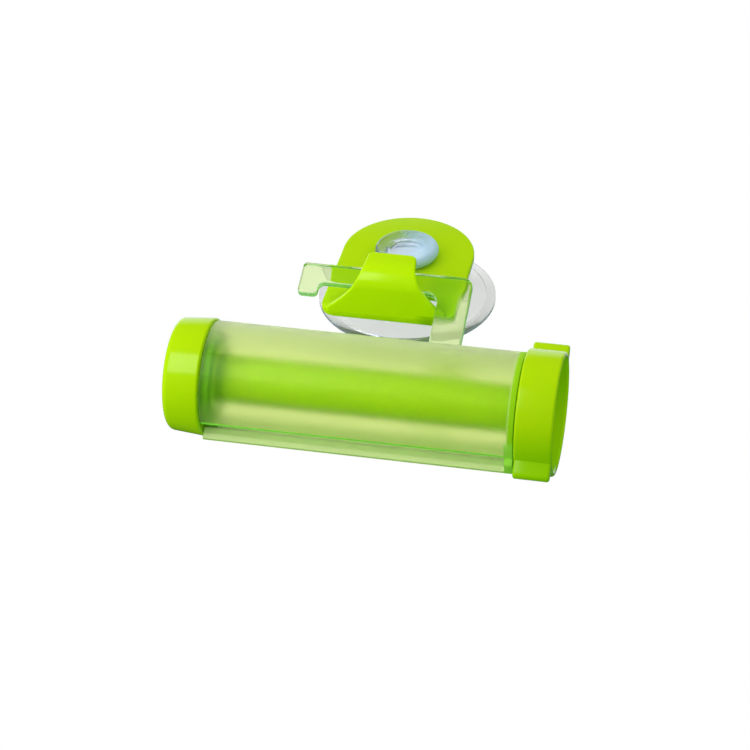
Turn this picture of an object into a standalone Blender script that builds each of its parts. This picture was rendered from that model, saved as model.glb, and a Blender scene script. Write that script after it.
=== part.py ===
# Toothpaste tube squeezer with a suction hook.
#
# A clear suction cup holds a hook plate on the wall. The flat arm of a slotted sleeve hangs in the
# hook, and a split winding core turns inside the sleeve between a winged key and an end cap, so that
# the tube's crimped end, put through both slots, is rolled up and pressed flat.
#
# Metres, +Z up. The wall is the plane Y = 0 and the product hangs in front of it, towards -Y.
# X runs along the sleeve, with the key at +X. The origin is the middle of the suction cup's rim.

import math

import bmesh
import bpy
from mathutils import Matrix, Vector

# Suction cup
CUP_RADIUS = 0.0233
CUP_RIM_FLAT = 0.0028
CUP_RIM_EDGE = 0.0009
CUP_WALL = 0.0017
CUP_SHOULDER_RADIUS = 0.0088
CUP_SHOULDER_HEIGHT = 0.0104
CUP_CEILING_RADIUS = 0.0060
NECK_RADIUS = 0.0050
HEAD_RADIUS = 0.0083
HEAD_THICKNESS = 0.0030
HEAD_DIMPLE_RADIUS = 0.0050
HEAD_DIMPLE_DEPTH = 0.0009

# Hook plate
PLATE_WIDTH = 0.0345
PLATE_THICKNESS = 0.0022
PLATE_ARCH_CENTRE = 0.0019
PLATE_BOTTOM = 0.0280
PLATE_CORNER = 0.0038
PLATE_EDGE = 0.0005
WINDOW_WIDTH = 0.0236
WINDOW_TOP = 0.0169
WINDOW_CORNER = 0.0020
HOOK_THICKNESS = 0.0023
HOOK_ROOT_WIDTH = 0.0290
HOOK_TIP_WIDTH = 0.0118
HOOK_TIP_CORNER = 0.0016
HOOK_FLOOR_SLOPE = math.radians(8.2)
HOOK_TONGUE_LEAN = math.radians(9.0)
HOOK_BEND_RADIUS = 0.0032
HOOK_DEPTH = 0.0112
HOOK_TONGUE_LENGTH = 0.0052
HOOK_FLARE_POWER = 1.6
HOOK_EDGE = 0.0006

# Sleeve
SLEEVE_LENGTH = 0.0751
SLEEVE_RADIUS = 0.01375
SLEEVE_WALL = 0.0013
SLEEVE_EDGE = 0.00015
SLOT_GAP = 0.0044
LIP_THICKNESS = 0.0015
LIP_HEIGHT = 0.0015
LIP_STEP = 0.0005
SLOT_END = 0.0019
SLOT_ANGLE = math.radians(28.7)
TUBE_TO_WALL = 0.0165
TUBE_DROP = 0.0670
TUBE_SHIFT = 0.00315

# Arm of the sleeve
ARM_TILT = math.radians(20.66)
ARM_THICKNESS = 0.0022
ARM_EDGE = 0.0005
ARM_SINK = 0.00065
ARM_ROOT_DROP = 0.0010
BAR_TOP = 0.04634
BAR_HEIGHT = 0.00577
BAR_LEFT = -0.02290
TAB_WIDTH = 0.0051
TAB_DROP = 0.0037
LEG_WIDTH = 0.0081
LEG_RIGHT = 0.0210
BAR_OUTER_CORNER = 0.0028
LEG_INNER_CORNER = 0.0030
TAB_CORNER = 0.0012
TAB_INNER_CORNER = 0.0016

# Winding core
CORE_RADIUS = 0.0059
CORE_SLOT = 0.0022
CORE_SLOT_END = 0.0040
CORE_EDGE = 0.0004

# Turn key
KEY_RADIUS = 0.01483
KEY_LENGTH = 0.0090
KEY_WALL = 0.0014
KEY_HUB = 0.0024
KEY_SPIGOT = 0.0024
KEY_SOCKET = 0.0034
KEY_EDGE = 0.0006
WING_HEIGHT = 0.00337
WING_ROOT_HALF = 0.0025
WING_TIP_HALF = 0.0013
WING_INSET = 0.00015
WING_ANGLE = math.radians(24.0)
WING_LEAN = math.radians(4.5)

# End cap
CAP_RIM_RADIUS = 0.01435
CAP_END_RADIUS = 0.01360
CAP_LENGTH = 0.0090
CAP_END_WALL = 0.0020
CAP_SPIGOT = 0.0046
CAP_SOCKET = 0.0046
CAP_EDGE = 0.0016
CAP_RIM_EDGE = 0.0005

# Shared by the key and the cap, which carry the core between them
SPIGOT_WALL = 0.0016
SOCKET_WALL = 0.0017

# Fits and detail
CLEARANCE = 0.0003
OVERRUN = 0.0020
TURN_STEPS = 72
CORNER_STEPS = 5
SHARP_ANGLE = math.radians(35)

# Worked out from the sizes above
PLATE_BACK = CUP_SHOULDER_HEIGHT + CLEARANCE
PLATE_FRONT = PLATE_BACK + PLATE_THICKNESS
PLATE_MIDDLE = PLATE_BACK + PLATE_THICKNESS / 2
HEAD_BACK = PLATE_FRONT + CLEARANCE
HEAD_FRONT = HEAD_BACK + HEAD_THICKNESS
SLEEVE_BORE = SLEEVE_RADIUS - SLEEVE_WALL
SLEEVE_LEFT = TUBE_SHIFT - SLEEVE_LENGTH / 2
SLEEVE_RIGHT = TUBE_SHIFT + SLEEVE_LENGTH / 2
LIP_TIP = SLEEVE_RADIUS + LIP_HEIGHT
SPIGOT_RADIUS = SLEEVE_BORE - CLEARANCE
SOCKET_RADIUS = CORE_RADIUS + CLEARANCE
KEY_LEFT = SLEEVE_RIGHT + CLEARANCE
WING_REACH = KEY_RADIUS + WING_HEIGHT
CAP_RIGHT = SLEEVE_LEFT - CLEARANCE
ARM_DEPTH = SLEEVE_RADIUS - ARM_SINK + ARM_THICKNESS / 2
BAR_BOTTOM = BAR_TOP - BAR_HEIGHT

# Swing axis of the arm, in the hook's trough and straight above the hanging pieces' centre of mass
SWING_FORWARD = 0.0164
SWING_DROP = 0.0240


def clear_scene():
    for old in list(bpy.data.objects):
        bpy.data.objects.remove(old, do_unlink=True)


def make_collection(name):
    group = bpy.data.collections.new(name)
    bpy.context.scene.collection.children.link(group)
    return group


def make_material(name, colour, roughness, transmission=0.0):
    material = bpy.data.materials.new(name)
    material.use_nodes = True
    shader = material.node_tree.nodes["Principled BSDF"]
    shader.inputs["Base Color"].default_value = (*colour, 1.0)
    shader.inputs["Roughness"].default_value = roughness
    shader.inputs["Metallic"].default_value = 0.0
    shader.inputs["Transmission Weight"].default_value = transmission
    return material


def make_axis(group, name, place, parent=None):
    """An empty on a joint's axis, which the moving pieces hang from."""
    axis = bpy.data.objects.new(name, None)
    axis.empty_display_size = CUP_RADIUS
    group.objects.link(axis)
    axis.matrix_world = Matrix.Translation(place)
    if parent is not None:
        hang(axis, parent)
    return axis


def hang(piece, parent):
    """Parents a piece and leaves it where it is."""
    bpy.context.view_layer.update()
    piece.parent = parent
    piece.matrix_parent_inverse = parent.matrix_world.inverted()


def make_cutter(piece, group):
    for holder in list(piece.users_collection):
        holder.objects.unlink(piece)
    group.objects.link(piece)
    piece.hide_render = True
    piece.display_type = "WIRE"


def box_cutter(name, low, high, frame, group):
    """A box between two corners, given in a frame of its own."""
    bpy.ops.mesh.primitive_cube_add(size=1.0)
    box = bpy.context.object
    box.name = name
    size = Vector(high) - Vector(low)
    box.data.transform(Matrix.Diagonal((*size, 1.0)))
    box.matrix_world = frame @ Matrix.Translation((Vector(high) + Vector(low)) / 2)
    make_cutter(box, group)
    return box


def combine(piece, other, operation):
    boolean = piece.modifiers.new(other.name, "BOOLEAN")
    boolean.operation = operation
    boolean.object = other
    boolean.solver = "EXACT"


def axes(origin, across, up, out):
    """The matrix of a frame whose three axes are given in world directions."""
    turn = Matrix((across, up, out)).transposed()
    return Matrix.Translation(origin) @ turn.to_4x4()


def arc(centre, radius, start, end, steps):
    """Points along an arc, both ends included."""
    points = []
    for step in range(steps + 1):
        angle = start + (end - start) * step / steps
        points.append((centre[0] + radius * math.cos(angle), centre[1] + radius * math.sin(angle)))
    return points


def round_corners(corners):
    """An outline from corners given as (x, y, fillet radius)."""
    points = []
    count = len(corners)
    for index, (x, y, radius) in enumerate(corners):
        if radius == 0:
            points.append((x, y))
            continue
        here = Vector((x, y))
        before = (Vector(corners[index - 1][:2]) - here).normalized()
        after = (Vector(corners[(index + 1) % count][:2]) - here).normalized()
        half = before.angle(after) / 2
        centre = here + (before + after).normalized() * radius / math.sin(half)
        first = here + before * radius / math.tan(half) - centre
        last = here + after * radius / math.tan(half) - centre
        start = math.atan2(first.y, first.x)
        sweep = math.remainder(math.atan2(last.y, last.x) - start, math.tau)
        points += arc(centre, radius, start, start + sweep, CORNER_STEPS)
    return points


def flat_piece(name, outlines, thickness, edge, frame, group):
    """A flat piece with rounded edges, cut from its outlines, as a mesh in its own frame."""
    curve = bpy.data.curves.new(name, "CURVE")
    curve.dimensions = "2D"
    curve.fill_mode = "BOTH"
    curve.extrude = thickness / 2 - edge
    curve.bevel_depth = edge
    curve.bevel_resolution = 1
    curve.offset = -edge
    for outline in outlines:
        spline = curve.splines.new("POLY")
        spline.points.add(len(outline) - 1)
        spline.use_cyclic_u = True
        for point, (x, y) in zip(spline.points, outline):
            point.co = (x, y, 0.0, 1.0)
    guide = bpy.data.objects.new(name, curve)
    group.objects.link(guide)
    bpy.context.view_layer.update()
    graph = bpy.context.evaluated_depsgraph_get()
    mesh = bpy.data.meshes.new_from_object(guide.evaluated_get(graph))
    bpy.data.objects.remove(guide, do_unlink=True)
    form = bmesh.new()
    form.from_mesh(mesh)
    bmesh.ops.remove_doubles(form, verts=form.verts, dist=CLEARANCE / 100)
    bmesh.ops.recalc_face_normals(form, faces=form.faces)
    form.to_mesh(mesh)
    form.free()
    piece = bpy.data.objects.new(name, mesh)
    piece.matrix_world = frame
    group.objects.link(piece)
    return piece


def turned_piece(name, profile, frame, group):
    """A turned piece: a closed profile of (radius, height) points, run down its outer side."""
    mesh = bpy.data.meshes.new(name)
    form = bmesh.new()
    points = [form.verts.new((radius, 0.0, height)) for radius, height in profile]
    for first, second in zip(points, points[1:]):
        form.edges.new((first, second))
    if profile[0][0] > 0 or profile[-1][0] > 0:
        form.edges.new((points[-1], points[0]))
    form.to_mesh(mesh)
    form.free()
    piece = bpy.data.objects.new(name, mesh)
    piece.matrix_world = frame
    group.objects.link(piece)
    screw = piece.modifiers.new("turn", "SCREW")
    screw.axis = "Z"
    screw.steps = TURN_STEPS
    screw.render_steps = TURN_STEPS
    screw.use_merge_vertices = True
    screw.merge_threshold = CLEARANCE / 100
    return piece


def finish(piece, material, parent=None):
    piece.data.materials.clear()
    piece.data.materials.append(material)
    piece.data.shade_smooth()
    piece.data.set_sharp_from_angle(angle=SHARP_ANGLE)
    if parent is not None:
        hang(piece, parent)


def suction_cup(group, material):
    """Soft clear cup: flat rim, shallow dome, and a neck with a dimpled button head."""
    edge = HEAD_THICKNESS / 2
    dimple_slope = HEAD_DIMPLE_DEPTH * 2
    crown = HEAD_FRONT
    profile = [(0.0, crown - HEAD_DIMPLE_DEPTH)]
    profile.append((HEAD_DIMPLE_RADIUS - dimple_slope, crown - HEAD_DIMPLE_DEPTH))
    profile.append((HEAD_DIMPLE_RADIUS - HEAD_DIMPLE_DEPTH / 2, crown - HEAD_DIMPLE_DEPTH / 3))
    profile.append((HEAD_DIMPLE_RADIUS, crown))
    profile += arc((HEAD_RADIUS - edge, crown - edge), edge, math.pi / 2, -math.pi / 2, CORNER_STEPS + 2)
    profile.append((NECK_RADIUS, HEAD_BACK))
    profile.append((NECK_RADIUS, CUP_SHOULDER_HEIGHT))
    profile.append((CUP_SHOULDER_RADIUS, CUP_SHOULDER_HEIGHT))
    outer = dome_curve(CUP_SHOULDER_RADIUS, CUP_SHOULDER_HEIGHT, CUP_RADIUS, CUP_RIM_EDGE)
    profile += outer[1:]
    profile.append((CUP_RADIUS, 0.0))
    inner_rim = CUP_RADIUS - CUP_RIM_FLAT
    ceiling = CUP_SHOULDER_HEIGHT - CUP_WALL
    profile.append((inner_rim, 0.0))
    inner = dome_curve(CUP_CEILING_RADIUS, ceiling, inner_rim, CUP_RIM_EDGE / 2)
    profile += reversed(inner)
    profile.append((0.0, ceiling))
    cup = turned_piece("suction_cup", profile, axes((0, 0, 0), (1, 0, 0), (0, 0, 1), (0, -1, 0)), group)
    finish(cup, material)
    return cup


def dome_curve(top_radius, top_height, rim_radius, rim_height):
    """The slightly hollowed cone between a cup's shoulder and its rim."""
    dome_dip_share = 0.12
    points = []
    for step in range(CORNER_STEPS + 1):
        share = step / CORNER_STEPS
        radius = top_radius + (rim_radius - top_radius) * share
        height = top_height + (rim_height - top_height) * share
        dip = dome_dip_share * (top_height - rim_height) * math.sin(math.pi * share)
        points.append((radius, height - dip))
    return points


def hook_path():
    """Middle line of the hook's floor, bend and tongue, as (forward, up, direction, length)."""
    rise = HOOK_FLOOR_SLOPE
    lean = math.pi / 2 - HOOK_TONGUE_LEAN
    forward = PLATE_MIDDLE
    up = HOOK_THICKNESS / 2 - PLATE_BOTTOM
    floor_length = (HOOK_DEPTH - HOOK_BEND_RADIUS * (math.sin(lean) - math.sin(rise))) / math.cos(rise)
    stations = []
    floor_steps = CORNER_STEPS + 1
    for step in range(floor_steps):
        run = floor_length * step / floor_steps
        stations.append((forward + run * math.cos(rise), up + run * math.sin(rise), rise, run))
    forward += floor_length * math.cos(rise)
    up += floor_length * math.sin(rise)
    centre = (forward - HOOK_BEND_RADIUS * math.sin(rise), up + HOOK_BEND_RADIUS * math.cos(rise))
    bend_steps = 2 * CORNER_STEPS
    for step in range(bend_steps + 1):
        turn = rise + (lean - rise) * step / bend_steps
        forward = centre[0] + HOOK_BEND_RADIUS * math.sin(turn)
        up = centre[1] - HOOK_BEND_RADIUS * math.cos(turn)
        stations.append((forward, up, turn, floor_length + HOOK_BEND_RADIUS * (turn - rise)))
    forward, up, turn, run = stations[-1]
    straight = HOOK_TONGUE_LENGTH - HOOK_TIP_CORNER
    bent = (forward + straight * math.cos(lean), up + straight * math.sin(lean))
    stations.append((*bent, lean, run + straight))
    for step in range(1, CORNER_STEPS + 1):
        reach = straight + HOOK_TIP_CORNER * math.sin(math.pi / 2 * step / CORNER_STEPS)
        stations.append((forward + reach * math.cos(lean), up + reach * math.sin(lean), lean, run + reach))
    return stations


def hook_half_width(run, whole):
    """Half the hook's width: a bell that narrows from root to tip, with round corners at the tip."""
    flare = (HOOK_ROOT_WIDTH - HOOK_TIP_WIDTH) / 2 * max(0.0, 1 - run / whole) ** HOOK_FLARE_POWER
    half = HOOK_TIP_WIDTH / 2 + flare
    into_corner = run - (whole - HOOK_TIP_CORNER)
    if into_corner > 0:
        half -= HOOK_TIP_CORNER - math.sqrt(max(0.0, HOOK_TIP_CORNER**2 - into_corner**2))
    return half


def hook_tongue(group):
    """The hook as a loft of round-edged sections along its path."""
    stations = hook_path()
    whole = stations[-1][3]
    form = bmesh.new()
    rings = []
    for forward, up, turn, run in stations:
        half = hook_half_width(run, whole)
        thick = HOOK_THICKNESS / 2
        edge = HOOK_EDGE
        outline = round_corners(
            [(-half, -thick, edge), (half, -thick, edge), (half, thick, edge), (-half, thick, edge)]
        )
        ring = []
        for x, off in outline:
            y = up + off * math.cos(turn)
            z = forward - off * math.sin(turn)
            ring.append(form.verts.new((x, y, z)))
        rings.append(ring)
    for ring, following in zip(rings, rings[1:]):
        for index in range(len(ring)):
            beside = (index + 1) % len(ring)
            form.faces.new((ring[index], ring[beside], following[beside], following[index]))
    form.faces.new(list(reversed(rings[0])))
    form.faces.new(rings[-1])
    bmesh.ops.recalc_face_normals(form, faces=form.faces)
    mesh = bpy.data.meshes.new("hook_tongue")
    form.to_mesh(mesh)
    form.free()
    tongue = bpy.data.objects.new("hook_tongue", mesh)
    tongue.matrix_world = axes((0, 0, 0), (1, 0, 0), (0, 0, 1), (0, -1, 0))
    group.objects.link(tongue)
    return tongue


def hook_plate(group, cutters, material, axis):
    """Arched plate with the neck's hole, the window behind the hook, and the hook itself."""
    half = PLATE_WIDTH / 2
    outline = arc((0.0, PLATE_ARCH_CENTRE), half, 0.0, math.pi, TURN_STEPS // 2)
    corners = round_corners(
        [
            (-half, PLATE_ARCH_CENTRE, 0),
            (-half, -PLATE_BOTTOM, PLATE_CORNER),
            (half, -PLATE_BOTTOM, PLATE_CORNER),
            (half, PLATE_ARCH_CENTRE, 0),
        ]
    )
    outline += corners[1:-1]
    hole = arc((0.0, 0.0), NECK_RADIUS + CLEARANCE, 0.0, math.tau, TURN_STEPS // 2)[:-1]
    sill = -PLATE_BOTTOM + HOOK_THICKNESS
    side = WINDOW_WIDTH / 2
    window = round_corners(
        [
            (-side, sill, WINDOW_CORNER / 2),
            (side, sill, WINDOW_CORNER / 2),
            (side, -WINDOW_TOP, WINDOW_CORNER),
            (-side, -WINDOW_TOP, WINDOW_CORNER),
        ]
    )
    frame = axes((0, -PLATE_MIDDLE, 0), (1, 0, 0), (0, 0, 1), (0, -1, 0))
    plate = flat_piece("hook_plate", [outline, hole, window], PLATE_THICKNESS, PLATE_EDGE, frame, group)
    tongue = hook_tongue(group)
    make_cutter(tongue, cutters)
    combine(plate, tongue, "UNION")
    finish(plate, material, axis)
    return plate


def tube_frame(angle):
    """Frame on the tube's axis: across points away from the axis, turned from straight down to the wall."""
    down = Vector((0.0, math.sin(angle), -math.cos(angle)))
    beside = Vector((0.0, math.cos(angle), math.sin(angle)))
    return axes((0, -TUBE_TO_WALL, -TUBE_DROP), down, beside, Vector((1.0, 0.0, 0.0)))


def turned_frame(place_x, direction):
    """Frame of a piece turned about the tube's axis: its height runs along X, either way."""
    along = Vector((direction, 0.0, 0.0))
    up = Vector((0.0, 0.0, 1.0))
    return axes((place_x, -TUBE_TO_WALL, -TUBE_DROP), up.cross(along), up, along)


def sleeve_outline():
    """Section of the sleeve before its slot is cut: a ring that steps out where the slot's lip will be."""
    near_side = SLOT_GAP / 2 - LIP_STEP
    far_side = SLOT_GAP / 2 + LIP_THICKNESS
    near_angle = math.asin(near_side / SLEEVE_RADIUS)
    far_angle = math.asin(far_side / SLEEVE_RADIUS)
    tip = LIP_THICKNESS / 2
    skin = arc((0.0, 0.0), SLEEVE_RADIUS, far_angle, math.tau - near_angle, TURN_STEPS + TURN_STEPS // 4)
    step = arc((LIP_TIP - tip, tip - near_side), tip, -math.pi / 2, 0.0, CORNER_STEPS)
    lip = arc((LIP_TIP - tip, far_side - tip), tip, 0.0, math.pi / 2, CORNER_STEPS)
    return skin + step + lip


def arm_outline():
    """Outline of the arm: bar on top, short tab at the left and long leg at the right."""
    right = LEG_RIGHT
    leg_left = LEG_RIGHT - LEG_WIDTH
    tab_right = BAR_LEFT + TAB_WIDTH
    tab_bottom = BAR_BOTTOM - TAB_DROP
    return round_corners(
        [
            (right, -ARM_ROOT_DROP, TAB_CORNER),
            (right, BAR_TOP, BAR_OUTER_CORNER),
            (BAR_LEFT, BAR_TOP, TAB_CORNER),
            (BAR_LEFT, tab_bottom, TAB_CORNER),
            (tab_right, tab_bottom, TAB_CORNER),
            (tab_right, BAR_BOTTOM, TAB_INNER_CORNER),
            (leg_left, BAR_BOTTOM, LEG_INNER_CORNER),
            (leg_left, -ARM_ROOT_DROP, TAB_CORNER),
        ]
    )


def sleeve(group, cutters, material, axis):
    """Sleeve with its arm, moulded in one. The slot is open at the cap's end and closed at the key's."""
    frame = tube_frame(SLOT_ANGLE)
    bore = arc((0.0, 0.0), SLEEVE_BORE, 0.0, math.tau, TURN_STEPS + TURN_STEPS // 4)[:-1]
    middle = frame @ Matrix.Translation((0.0, 0.0, TUBE_SHIFT))
    body = flat_piece("sleeve", [sleeve_outline(), bore], SLEEVE_LENGTH, SLEEVE_EDGE, middle, group)
    up = Vector((0.0, -math.sin(ARM_TILT), math.cos(ARM_TILT)))
    front = Vector((0.0, -math.cos(ARM_TILT), -math.sin(ARM_TILT)))
    arm_frame = axes((0, -TUBE_TO_WALL, -TUBE_DROP), Vector((1.0, 0.0, 0.0)), up, front)
    arm_frame = arm_frame @ Matrix.Translation((0.0, 0.0, -ARM_DEPTH))
    arm = flat_piece("sleeve_arm", [arm_outline()], ARM_THICKNESS, ARM_EDGE, arm_frame, group)
    make_cutter(arm, cutters)
    combine(body, arm, "UNION")
    low = (SLEEVE_BORE / 2, -SLOT_GAP / 2, SLEEVE_LEFT - OVERRUN)
    high = (LIP_TIP + OVERRUN, SLOT_GAP / 2, SLEEVE_RIGHT - SLOT_END)
    combine(body, box_cutter("sleeve_slot", low, high, frame, cutters), "DIFFERENCE")
    finish(body, material, axis)
    return body


def winding_core(group, cutters, material, axis):
    """Split rod: a round bar with a long slot through it and whole ends that seat in two sockets."""
    left = CAP_RIGHT + CAP_SPIGOT - CAP_SOCKET + CLEARANCE
    right = KEY_LEFT - KEY_SPIGOT + KEY_SOCKET - CLEARANCE
    length = right - left
    edge = CORE_EDGE
    profile = [(0.0, length), (CORE_RADIUS - edge, length), (CORE_RADIUS, length - edge)]
    profile += [(CORE_RADIUS, edge), (CORE_RADIUS - edge, 0.0), (0.0, 0.0)]
    core = turned_piece("winding_core", profile, turned_frame(left, 1.0), group)
    reach = CORE_RADIUS + OVERRUN
    low = (-reach, -CORE_SLOT / 2, CAP_RIGHT + CAP_SPIGOT + CORE_SLOT_END)
    high = (reach, CORE_SLOT / 2, KEY_LEFT - KEY_SPIGOT - CORE_SLOT_END)
    combine(core, box_cutter("core_slot", low, high, tube_frame(SLOT_ANGLE), cutters), "DIFFERENCE")
    finish(core, material, axis)
    return core


def wing(name, side, group):
    """One wing of the key: a tapered blade along the collar, with round corners."""
    root = KEY_RADIUS - KEY_WALL / 2
    tip_round = WING_TIP_HALF
    outline = arc((WING_REACH - tip_round, 0.0), tip_round, -math.pi / 2, math.pi / 2, CORNER_STEPS)
    outline += [(root, WING_ROOT_HALF), (root, -WING_ROOT_HALF)]
    middle = KEY_LEFT + KEY_LENGTH / 2
    length = KEY_LENGTH - 2 * WING_INSET
    frame = tube_frame(WING_ANGLE + side * (math.pi + WING_LEAN)) @ Matrix.Translation((0.0, 0.0, middle))
    return flat_piece(name, [outline], length, KEY_EDGE, frame, group)


def turn_key(group, cutters, material, axis):
    """Winged collar with a spigot in the sleeve's end and a socket for the core."""
    back = KEY_SPIGOT
    length = KEY_SPIGOT + KEY_LENGTH
    edge = KEY_EDGE
    bore = KEY_RADIUS - KEY_WALL
    floor = back + KEY_HUB
    rim_middle = KEY_RADIUS - KEY_WALL / 2
    profile = [(0.0, floor), (bore - edge, floor), (bore, floor + edge)]
    profile += reversed(arc((rim_middle, length - KEY_WALL / 2), KEY_WALL / 2, 0.0, math.pi, CORNER_STEPS))
    profile += [(KEY_RADIUS, back + edge), (KEY_RADIUS - edge, back), (SPIGOT_RADIUS, back)]
    boss = SOCKET_RADIUS + SOCKET_WALL
    ring = SPIGOT_RADIUS - SPIGOT_WALL
    profile += [(SPIGOT_RADIUS, 0.0), (ring, 0.0), (ring, back), (boss, back), (boss, 0.0)]
    profile += [(SOCKET_RADIUS, 0.0), (SOCKET_RADIUS, KEY_SOCKET), (0.0, KEY_SOCKET)]
    key = turned_piece("turn_key", profile, turned_frame(KEY_LEFT - KEY_SPIGOT, 1.0), group)
    for side in (0, 1):
        blade = wing(f"wing_{side + 1}", side, group)
        make_cutter(blade, cutters)
        combine(key, blade, "UNION")
    finish(key, material, axis)
    return key


def end_cap(group, material, axis):
    """Plain cap with a slight draft, a spigot in the sleeve's other end and a socket for the core."""
    back = CAP_SPIGOT
    length = CAP_SPIGOT + CAP_LENGTH
    edge = CAP_EDGE
    profile = [(0.0, length)]
    profile += reversed(arc((CAP_END_RADIUS - edge, length - edge), edge, 0.0, math.pi / 2, CORNER_STEPS))
    profile += [(CAP_RIM_RADIUS, back + CAP_RIM_EDGE), (CAP_RIM_RADIUS - CAP_RIM_EDGE, back)]
    hollow = length - CAP_END_WALL
    boss = SOCKET_RADIUS + SOCKET_WALL
    ring = SPIGOT_RADIUS - SPIGOT_WALL
    profile += [(SPIGOT_RADIUS, back), (SPIGOT_RADIUS, 0.0), (ring, 0.0), (ring, hollow), (boss, hollow)]
    profile += [(boss, 0.0), (SOCKET_RADIUS, 0.0), (SOCKET_RADIUS, CAP_SOCKET), (0.0, CAP_SOCKET)]
    cap = turned_piece("end_cap", profile, turned_frame(CAP_RIGHT + CAP_SPIGOT, -1.0), group)
    finish(cap, material, axis)
    return cap


def main():
    clear_scene()
    group = make_collection("toothpaste_tube_squeezer")
    cutters = make_collection("cutters")
    clear_plastic = make_material("clear_soft_plastic", (0.78, 0.82, 0.80), 0.12, 0.9)
    frosted_green = make_material("frosted_green_plastic", (0.56, 0.80, 0.34), 0.30, 0.5)
    solid_green = make_material("solid_green_plastic", (0.40, 0.68, 0.0), 0.28)

    swivel = make_axis(group, "plate_swivel_axis", (0.0, 0.0, 0.0))
    swing = make_axis(group, "arm_swing_axis", (0.0, -SWING_FORWARD, -SWING_DROP), swivel)
    spin = make_axis(group, "core_spin_axis", (0.0, -TUBE_TO_WALL, -TUBE_DROP), swing)

    suction_cup(group, clear_plastic)
    hook_plate(group, cutters, solid_green, swivel)
    sleeve(group, cutters, frosted_green, swing)
    winding_core(group, cutters, solid_green, spin)
    turn_key(group, cutters, solid_green, spin)
    end_cap(group, solid_green, spin)


main()
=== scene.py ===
# Looks of the toothpaste tube squeezer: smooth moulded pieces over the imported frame, plastics,
# studio light and the camera. Metres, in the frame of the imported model.

import math

import bmesh
import bpy
from mathutils import Euler, Matrix, Vector

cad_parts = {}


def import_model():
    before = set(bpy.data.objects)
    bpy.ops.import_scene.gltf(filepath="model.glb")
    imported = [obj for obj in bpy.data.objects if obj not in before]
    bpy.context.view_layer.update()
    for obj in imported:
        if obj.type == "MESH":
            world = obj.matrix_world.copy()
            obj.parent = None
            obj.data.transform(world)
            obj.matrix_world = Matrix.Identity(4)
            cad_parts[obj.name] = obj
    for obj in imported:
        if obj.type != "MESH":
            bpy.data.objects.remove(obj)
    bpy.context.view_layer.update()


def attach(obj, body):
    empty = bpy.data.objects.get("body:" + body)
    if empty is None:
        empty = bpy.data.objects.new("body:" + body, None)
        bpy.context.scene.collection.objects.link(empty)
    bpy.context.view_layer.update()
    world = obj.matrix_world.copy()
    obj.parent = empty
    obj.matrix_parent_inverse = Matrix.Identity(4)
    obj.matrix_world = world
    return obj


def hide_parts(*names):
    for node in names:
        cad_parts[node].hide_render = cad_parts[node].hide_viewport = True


MM = 0.001

# Directions and the origin of the frame
ORIGIN = (0.0, 0.0, 0.0)
RIGHT = (1.0, 0.0, 0.0)
LEFT = (-1.0, 0.0, 0.0)
BACK = (0.0, 1.0, 0.0)
FORWARD = (0.0, -1.0, 0.0)
UP = (0.0, 0.0, 1.0)
DOWN = (0.0, 0.0, -1.0)

# Camera, fitted to the photograph
CAMERA_PLACE = (0.108598, -0.364475, -0.538236)
CAMERA_TURN = (144.4443, -11.6830, 0.9447)
CAMERA_LENS = 119.82
CAMERA_NEAR = 0.01
CAMERA_FAR = 30.0
SENSOR = 36.0

# Light of the surroundings: each runs from its dim tone to its bright one along its direction
ROOM_SIDE = (-0.560, -0.800, 0.215)
ROOM_SPAN = (-0.7, 0.7)
ROOM_DIM = (0.24, 0.47, 0.11)
ROOM_BRIGHT = (1.13, 1.09, 1.00)
SHEEN_SIDE = (-0.201, 0.171, 0.962)
SHEEN_SPAN = (0.80, 0.95)
SHEEN_DIM = (0.03, 0.035, 0.02)
SHEEN_BRIGHT = (1.0, 1.0, 1.25)
THROUGH_SIDE = (-0.174, 0.579, 0.797)
THROUGH_SPAN = (-1.0, -0.1)
THROUGH_DIM = (0.28, 0.31, 0.30)
WHITE_TONE = (1.0, 1.0, 1.0)

# Softboxes, placed by direction and distance from a centre
LIGHT_CENTRE = (0.0, -0.015, -0.045)
LIGHT_UP = (-0.1, -0.82, 0.57)
KEY_LIGHT_SIDE = (-0.400, -0.736, -0.481)
KEY_LIGHT_DISTANCE = 0.95
KEY_LIGHT_SIZE = (0.40, 0.60)
KEY_LIGHT_RADIANCE = 9.5
KEY_LIGHT_COLOUR = (0.45, 0.45, 1.0)
FILL_LIGHT_SIDE = (-0.780, -0.360, -0.510)
FILL_LIGHT_DISTANCE = 0.25
FILL_LIGHT_SIZE = (0.20, 0.20)
FILL_LIGHT_RADIANCE = 1.8
FILL_LIGHT_COLOUR = WHITE_TONE

# Floor
FLOOR_HALF = 6.0
FLOOR_HEIGHT = -0.80
FLOOR_TONES = ((0.87, 0.80, 0.95), (0.91, 0.84, 0.99))
FLOOR_CLOUDS = 3.0
FLOOR_ROUGHNESS = 0.9

# Suction cup
CUP_RADIUS = 23.3 * MM
CUP_RIM_FLAT = 2.8 * MM
CUP_RIM_EDGE = 0.9 * MM
CUP_RIM_ROUNDING = 0.2 * MM
CUP_WALL = 1.7 * MM
SHOULDER_RADIUS = 8.8 * MM
SHOULDER_HEIGHT = 10.4 * MM
CEILING_RADIUS = 6.0 * MM
NECK_RADIUS = 5.0 * MM
NECK_FILLET = 0.35 * MM
NECK_SPARE = 0.6 * MM
HEAD_RADIUS = 8.3 * MM
HEAD_THICKNESS = 3.0 * MM
HEAD_EDGE = 1.48 * MM
DIMPLE_RADIUS = 5.0 * MM
DIMPLE_DEPTH = 0.9 * MM
DIMPLE_INSET = 1.6 * MM
DIMPLE_FILLET = 0.9 * MM
DIMPLE_LIP_INSET = 0.2 * MM
DIMPLE_LIP_EDGE = 0.3 * MM
DOME_DIP = 0.12

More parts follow.
